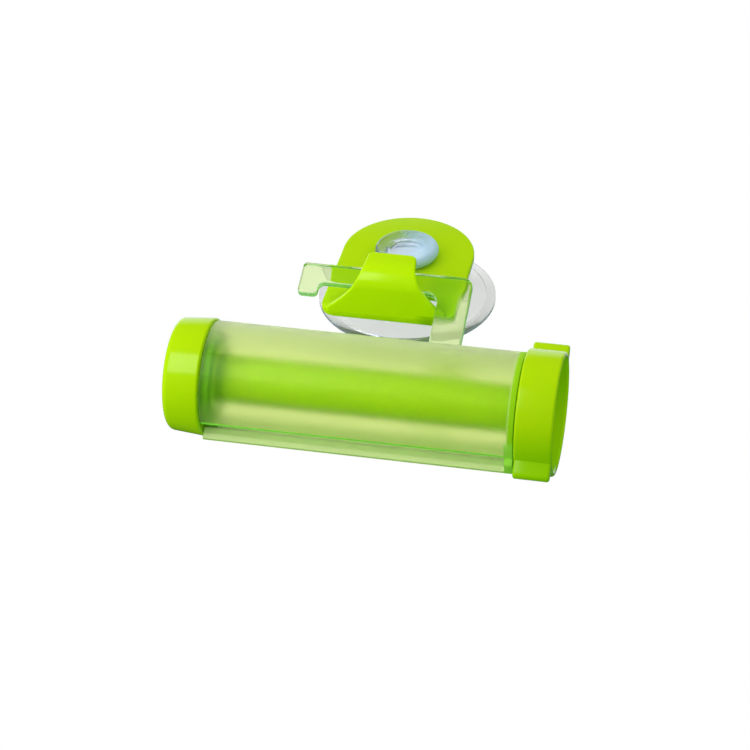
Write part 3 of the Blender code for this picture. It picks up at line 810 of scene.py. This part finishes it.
def build_cup(material):
    head_back = SHOULDER_HEIGHT + PLATE_THICKNESS + NECK_SPARE
    crown = head_back + HEAD_THICKNESS
    dimple = crown - DIMPLE_DEPTH
    ceiling = SHOULDER_HEIGHT - CUP_WALL
    inner_rim = CUP_RADIUS - CUP_RIM_FLAT
    profile = [(0.0, dimple, 0), (DIMPLE_RADIUS - DIMPLE_INSET, dimple, DIMPLE_FILLET)]
    profile += [(DIMPLE_RADIUS - DIMPLE_LIP_INSET, crown, DIMPLE_LIP_EDGE)]
    profile += [(HEAD_RADIUS, crown, HEAD_EDGE), (HEAD_RADIUS, head_back, HEAD_EDGE)]
    profile += [(NECK_RADIUS, head_back, NECK_FILLET), (NECK_RADIUS, SHOULDER_HEIGHT, NECK_FILLET)]
    profile += dome(SHOULDER_RADIUS, SHOULDER_HEIGHT, CUP_RADIUS, CUP_RIM_EDGE)
    profile += [(CUP_RADIUS, 0.0, CUP_RIM_ROUNDING), (inner_rim, 0.0, 0)]
    profile += reversed(dome(CEILING_RADIUS, ceiling, inner_rim, CUP_RIM_EDGE / 2))
    profile += [(0.0, ceiling, 0)]
    cup = turned("clear_suction_cup", profile, wall_frame())
    finish(cup, material, "suction_cup", "cup")


def straight_on(station, reach):
    """The station of the hook's path that lies straight on from another."""
    forward, up, turn, run = station
    return (forward + reach * math.cos(turn), up + reach * math.sin(turn), turn, run + reach)


def hook_path():
    """Middle line of the hook's floor, bend and tongue, as (forward, up, direction, length)."""
    lean = math.pi / 2 - HOOK_LEAN
    bend_reach = HOOK_BEND * (math.sin(lean) - math.sin(HOOK_SLOPE))
    floor_length = (HOOK_DEPTH - bend_reach) / math.cos(HOOK_SLOPE)
    start = (PLATE_MIDDLE, HOOK_THICKNESS / 2 - PLATE_BOTTOM, HOOK_SLOPE, 0.0)
    stations = []
    for step in range(FLOOR_STEPS):
        stations.append(straight_on(start, floor_length * step / FLOOR_STEPS))
    forward, up, slope, run = straight_on(start, floor_length)
    centre = (forward - HOOK_BEND * math.sin(slope), up + HOOK_BEND * math.cos(slope))
    for step in range(BEND_STEPS + 1):
        turn = slope + (lean - slope) * step / BEND_STEPS
        place = (centre[0] + HOOK_BEND * math.sin(turn), centre[1] - HOOK_BEND * math.cos(turn))
        stations.append((*place, turn, run + HOOK_BEND * (turn - slope)))
    bend_end = stations[-1]
    straight = TONGUE_LENGTH - HOOK_TIP_CORNER
    for step in range(TIP_STEPS + 1):
        into_corner = HOOK_TIP_CORNER * math.sin(math.pi / 2 * step / TIP_STEPS)
        stations.append(straight_on(bend_end, straight + into_corner))
    return stations


def hook_half_width(run, whole):
    """Half of the hook's width at a run along its path: a bell at its root, round corners at its tip."""
    flare = (HOOK_ROOT_WIDTH - HOOK_TIP_WIDTH) / 2 * max(0.0, 1 - run / whole) ** FLARE_POWER
    half = min(HOOK_TIP_WIDTH / 2 + flare, PLATE_HALF - PLATE_CORNER / 2)
    into_corner = run - (whole - HOOK_TIP_CORNER)
    if into_corner > 0:
        half -= HOOK_TIP_CORNER - math.sqrt(max(0.0, HOOK_TIP_CORNER**2 - into_corner**2))
    return half


def hook_tongue():
    """The whole hook, a loft of round-edged sections along its path."""
    stations = hook_path()
    whole = stations[-1][3]
    thick = HOOK_THICKNESS / 2
    edge = HOOK_EDGE
    form = bmesh.new()
    rings = []
    for forward, up, turn, run in stations:
        half = hook_half_width(run, whole)
        corners = [(-half, -thick, edge), (half, -thick, edge), (half, thick, edge), (-half, thick, edge)]
        ring = []
        for x, off in round_corners(corners):
            ring.append(form.verts.new((x, up + off * math.cos(turn), forward - off * math.sin(turn))))
        rings.append(ring)
    for ring, following in zip(rings, rings[1:]):
        for index in range(len(ring)):
            beside = (index + 1) % len(ring)
            form.faces.new((ring[index], ring[beside], following[beside], following[index]))
    form.faces.new(list(reversed(rings[0])))
    form.faces.new(rings[-1])
    return form_to_object("hook_tongue", form, wall_frame())


def build_hook_plate(material):
    outline = arc((0.0, ARCH_CENTRE), PLATE_HALF, 0.0, math.pi, TURN_STEPS // 2)
    corners = [(-PLATE_HALF, ARCH_CENTRE, 0), (-PLATE_HALF, -PLATE_BOTTOM, PLATE_CORNER)]
    corners += [(PLATE_HALF, -PLATE_BOTTOM, PLATE_CORNER), (PLATE_HALF, ARCH_CENTRE, 0)]
    outline += round_corners(corners)[1:-1]
    hole = circle(NECK_RADIUS + HOLE_GAP, TURN_STEPS // 2)
    sill = HOOK_THICKNESS - PLATE_BOTTOM
    window = [(-WINDOW_HALF, sill, WINDOW_CORNER / 2), (WINDOW_HALF, sill, WINDOW_CORNER / 2)]
    window += [(WINDOW_HALF, -WINDOW_TOP, WINDOW_CORNER), (-WINDOW_HALF, -WINDOW_TOP, WINDOW_CORNER)]
    outlines = [outline, hole, round_corners(window)]
    plate = slab("green_hook_plate", outlines, PLATE_THICKNESS, PLATE_EDGE, wall_frame(PLATE_MIDDLE))
    combine(plate, hook_tongue(), "UNION")
    finish(plate, material, "hook_plate", "hook")


def lip_fillet(side_y):
    """Fillet from the sleeve's skin to a side of the lip, and the angle on the skin where it starts."""
    centre_y = side_y + LIP_FILLET
    centre_x = math.sqrt((SLEEVE_RADIUS + LIP_FILLET) ** 2 - centre_y**2)
    start = math.atan2(-centre_y, -centre_x) + math.tau
    return arc((centre_x, centre_y), LIP_FILLET, start, 1.5 * math.pi), math.atan2(centre_y, centre_x)


def sleeve_outline():
    """Section of the sleeve before its slot is cut: a round skin with the block that the lip is cut from."""
    near = SLOT_HALF - LIP_STEP
    far = SLOT_HALF + LIP_THICKNESS
    far_root, far_angle = lip_fillet(far)
    near_root, near_angle = lip_fillet(near)
    near_root = [(x, -y) for x, y in near_root]
    tip = LIP_THICKNESS / 2
    skin = arc((0.0, 0.0), SLEEVE_RADIUS, far_angle, math.tau - near_angle, TURN_STEPS)
    near_tip = arc((LIP_TIP - tip, tip - near), tip, -math.pi / 2, 0.0)
    far_tip = arc((LIP_TIP - tip, far - tip), tip, 0.0, math.pi / 2)
    return skin[1:-1] + near_root + near_tip + far_tip + far_root[::-1]


def arm_outline():
    """The arm's leg, bar and tab, from the leg's root round to its other side."""
    corners = [(LEG_RIGHT, ARM_ROOT, TAB_CORNER), (LEG_RIGHT, BAR_TOP, BAR_CORNER)]
    corners += [(BAR_LEFT, BAR_TOP, TAB_CORNER), (BAR_LEFT, TAB_BOTTOM, TAB_CORNER)]
    corners += [(TAB_RIGHT, TAB_BOTTOM, TAB_CORNER), (TAB_RIGHT, BAR_BOTTOM, TAB_INNER_CORNER)]
    corners += [(LEG_LEFT, BAR_BOTTOM, LEG_CORNER), (LEG_LEFT, ARM_ROOT, TAB_CORNER)]
    return round_corners(corners)


def slot_cutter(corners, middle, depth):
    """A cutter for a slot, its corners along and across the tube and its middle out from the tube's axis."""
    place = Vector(TUBE_AXIS) + Vector(SLOT_OUT) * middle
    frame = axes(place, RIGHT, SLOT_BESIDE, -Vector(SLOT_OUT))
    return slab("slot", [round_corners(corners)], depth, CUTTER_EDGE, frame, 0)


def build_sleeve(material):
    outlines = [sleeve_outline(), circle(SLEEVE_BORE, TURN_STEPS)]
    frame = tube_frame(SLOT_ANGLE) @ slide(TUBE_X)
    body = slab("frosted_sleeve", outlines, SLEEVE_LENGTH, SLEEVE_EDGE, frame, SLEEVE_BEVEL_STEPS)
    arm_frame = axes(TUBE_AXIS, RIGHT, ARM_UP, ARM_FRONT) @ slide(-ARM_DEPTH)
    arm = slab("sleeve_arm", [arm_outline()], ARM_THICKNESS, ARM_EDGE, arm_frame)
    combine(body, arm, "UNION")
    left = TUBE_X - SLEEVE_LENGTH
    right = TUBE_X + SLEEVE_LENGTH / 2 - SLOT_END
    corner = SLOT_HALF / 3
    slot = [(left, -SLOT_HALF, 0), (right, -SLOT_HALF, corner)]
    slot += [(right, SLOT_HALF, corner), (left, SLOT_HALF, 0)]
    combine(body, slot_cutter(slot, SLEEVE_RADIUS, SLEEVE_RADIUS), "DIFFERENCE")
    finish(body, material, "sleeve", "squeezer")


def build_core(material):
    length = CORE_RIGHT - CORE_LEFT
    profile = [(0.0, length, 0), (CORE_RADIUS, length, CORE_EDGE)]
    profile += [(CORE_RADIUS, 0.0, CORE_EDGE), (0.0, 0.0, 0)]
    core = turned("split_core", profile, turned_frame(CORE_LEFT, RIGHT), TURN_STEPS // 2)
    half = CORE_SLOT / 2
    slot = [(CORE_SLOT_LEFT, -half, CORE_SLOT_CORNER), (CORE_SLOT_RIGHT, -half, CORE_SLOT_CORNER)]
    slot += [(CORE_SLOT_RIGHT, half, CORE_SLOT_CORNER), (CORE_SLOT_LEFT, half, CORE_SLOT_CORNER)]
    combine(core, slot_cutter(slot, 0.0, 4 * CORE_RADIUS), "DIFFERENCE")
    finish(core, material, "winding_core", "rotor")


def socket_profile(back, depth):
    """The last part of the key's and the cap's profile: a boss from its back and the core's socket in it."""
    profile = [(BOSS_RADIUS, back, 0), (BOSS_RADIUS, 0.0, SPIGOT_EDGE)]
    profile += [(SOCKET_RADIUS, 0.0, SPIGOT_EDGE), (SOCKET_RADIUS, depth, 0), (0.0, depth, 0)]
    return profile


def wing_outline():
    """A wing that tapers from inside the key's wall to a round tip."""
    tip = WING_TIP_HALF
    root = KEY_RADIUS - KEY_WALL / 2
    outline = arc((WING_REACH - tip, 0.0), tip, -math.pi / 2, math.pi / 2)
    return outline + [(root, WING_ROOT_HALF), (root, -WING_ROOT_HALF)]


def build_key(material):
    length = KEY_SPIGOT + KEY_LENGTH
    bore = KEY_RADIUS - KEY_WALL
    floor = KEY_SPIGOT + KEY_HUB
    profile = [(0.0, floor, 0), (bore, floor, KEY_EDGE), (bore, length, KEY_RIM_EDGE)]
    profile += [(KEY_RADIUS, length, KEY_RIM_EDGE), (KEY_RADIUS, KEY_SPIGOT, KEY_EDGE)]
    profile += [(SPIGOT_RADIUS, KEY_SPIGOT, 0), (SPIGOT_RADIUS, 0.0, SPIGOT_EDGE)]
    profile += [(SPIGOT_BORE, 0.0, SPIGOT_EDGE), (SPIGOT_BORE, KEY_SPIGOT, 0)]
    profile += socket_profile(KEY_SPIGOT, KEY_SOCKET)
    key = turned("winged_key", profile, turned_frame(KEY_LEFT - KEY_SPIGOT, RIGHT))
    for angle in (WING_ANGLE, WING_ANGLE + math.pi + WING_LEAN):
        frame = tube_frame(angle) @ slide(KEY_LEFT + KEY_LENGTH / 2)
        blade = slab("wing", [wing_outline()], KEY_LENGTH - 2 * WING_INSET, KEY_EDGE, frame)
        combine(key, blade, "UNION")
    finish(key, material, "turn_key", "rotor")


def build_cap(material):
    length = CAP_SPIGOT + CAP_LENGTH
    hollow = length - CAP_END_WALL
    profile = [(0.0, length, 0), (CAP_END_RADIUS, length, CAP_EDGE)]
    profile += [(CAP_RIM_RADIUS, CAP_SPIGOT, CAP_RIM_EDGE), (SPIGOT_RADIUS, CAP_SPIGOT, 0)]
    profile += [(SPIGOT_RADIUS, CAP_SPIGOT - CAP_LEAD, 0), (SPIGOT_RADIUS - CAP_LEAD_DROP, 0.0, SPIGOT_EDGE)]
    profile += [(SPIGOT_BORE, 0.0, SPIGOT_EDGE), (SPIGOT_BORE, hollow, 0)]
    profile += socket_profile(hollow, CAP_SOCKET)
    cap = turned("round_end_cap", profile, turned_frame(CAP_RIGHT + CAP_SPIGOT, LEFT))
    finish(cap, material, "end_cap", "rotor")


# Studio


def make_camera():
    data = bpy.data.cameras.new("camera")
    data.sensor_width = SENSOR
    data.sensor_fit = "HORIZONTAL"
    data.lens = CAMERA_LENS
    data.clip_start = CAMERA_NEAR
    data.clip_end = CAMERA_FAR
    camera = new_object("camera", data)
    camera.location = CAMERA_PLACE
    camera.rotation_euler = Euler([math.radians(angle) for angle in CAMERA_TURN], "XYZ")
    bpy.context.scene.camera = camera


def soft_light(name, side, distance, size, radiance, colour, in_gloss):
    """A softbox kept out of either diffuse light or gloss. Its watts follow from its radiance and size."""
    width, height = size
    out = Vector(side).normalized()
    across = Vector(LIGHT_UP).cross(out).normalized()
    data = bpy.data.lights.new(name, "AREA")
    data.shape = "RECTANGLE"
    data.size = width
    data.size_y = height
    data.energy = radiance * math.pi * width * height
    data.color = colour
    place = Vector(LIGHT_CENTRE) + out * distance
    light = new_object(name, data, axes(place, across, out.cross(across), out))
    light.visible_camera = False
    light.visible_diffuse = not in_gloss
    light.visible_glossy = in_gloss


def sky_tone(nodes, side, span, dim, bright):
    """A colour that rises from dim to bright along one direction of the surroundings."""
    rise = nodes.spread(nodes.along(side, nodes.place), WHOLE_RANGE, span, "SMOOTHSTEP")
    return nodes.blend(rise, dim, bright)


def unspread(nodes, path, flag):
    """One where the path has the flag and no diffuse bounce behind it, otherwise zero."""
    direct = nodes.add("ShaderNodeMath", operation="LESS_THAN")
    direct.inputs[1].default_value = NO_BOUNCE
    nodes.link(path["Diffuse Depth"], direct.inputs[0])
    return nodes.times(direct.outputs["Value"], path[flag])


def make_world():
    """White backdrop, a room brightest in front at the left, and own tones in gloss and through plastic."""
    world = bpy.data.worlds.new("studio")
    bpy.context.scene.world = world
    nodes = Nodes(world, "Generated")
    path = nodes.add("ShaderNodeLightPath").outputs
    room = sky_tone(nodes, ROOM_SIDE, ROOM_SPAN, ROOM_DIM, ROOM_BRIGHT)
    sheen = sky_tone(nodes, SHEEN_SIDE, SHEEN_SPAN, SHEEN_DIM, SHEEN_BRIGHT)
    through = sky_tone(nodes, THROUGH_SIDE, THROUGH_SPAN, THROUGH_DIM, WHITE_TONE)
    tone = nodes.blend(unspread(nodes, path, "Is Glossy Ray"), room, sheen)
    tone = nodes.blend(unspread(nodes, path, "Is Transmission Ray"), tone, through)
    tone = nodes.blend(path["Is Camera Ray"], tone, WHITE_TONE)
    nodes.link(tone, nodes.tree.nodes["Background"].inputs["Color"])


def make_floor():
    """A plain pale floor below the object, left out of the light and the reflections on it."""
    half = FLOOR_HALF
    form = bmesh.new()
    corners = [(-half, -half), (half, -half), (half, half), (-half, half)]
    form.faces.new([form.verts.new((x, y, FLOOR_HEIGHT)) for x, y in corners])
    mesh = bpy.data.meshes.new("floor")
    form.to_mesh(mesh)
    form.free()
    floor = new_object("floor", mesh)
    nodes = Surface("pale_floor")
    clouds = nodes.spread(nodes.noise(FLOOR_CLOUDS, CLOUD_DETAIL), WHOLE_RANGE)
    nodes.feed("Base Color", nodes.blend(clouds, *FLOOR_TONES))
    nodes.set("Roughness", FLOOR_ROUGHNESS)
    mesh.materials.append(nodes.material)
    floor.visible_diffuse = False
    floor.visible_glossy = False
    floor.visible_transmission = False


def main():
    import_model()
    make_camera()
    make_world()
    make_floor()
    soft_light(
        "key_softbox",
        KEY_LIGHT_SIDE,
        KEY_LIGHT_DISTANCE,
        KEY_LIGHT_SIZE,
        KEY_LIGHT_RADIANCE,
        KEY_LIGHT_COLOUR,
        in_gloss=True,
    )
    soft_light(
        "near_fill",
        FILL_LIGHT_SIDE,
        FILL_LIGHT_DISTANCE,
        FILL_LIGHT_SIZE,
        FILL_LIGHT_RADIANCE,
        FILL_LIGHT_COLOUR,
        in_gloss=False,
    )
    solid = solid_plastic()
    build_cup(clear_plastic())
    build_hook_plate(solid)
    build_sleeve(frosted_plastic())
    build_core(solid)
    build_key(solid)
    build_cap(solid)
    bpy.context.scene.view_settings.view_transform = "Standard"


main()
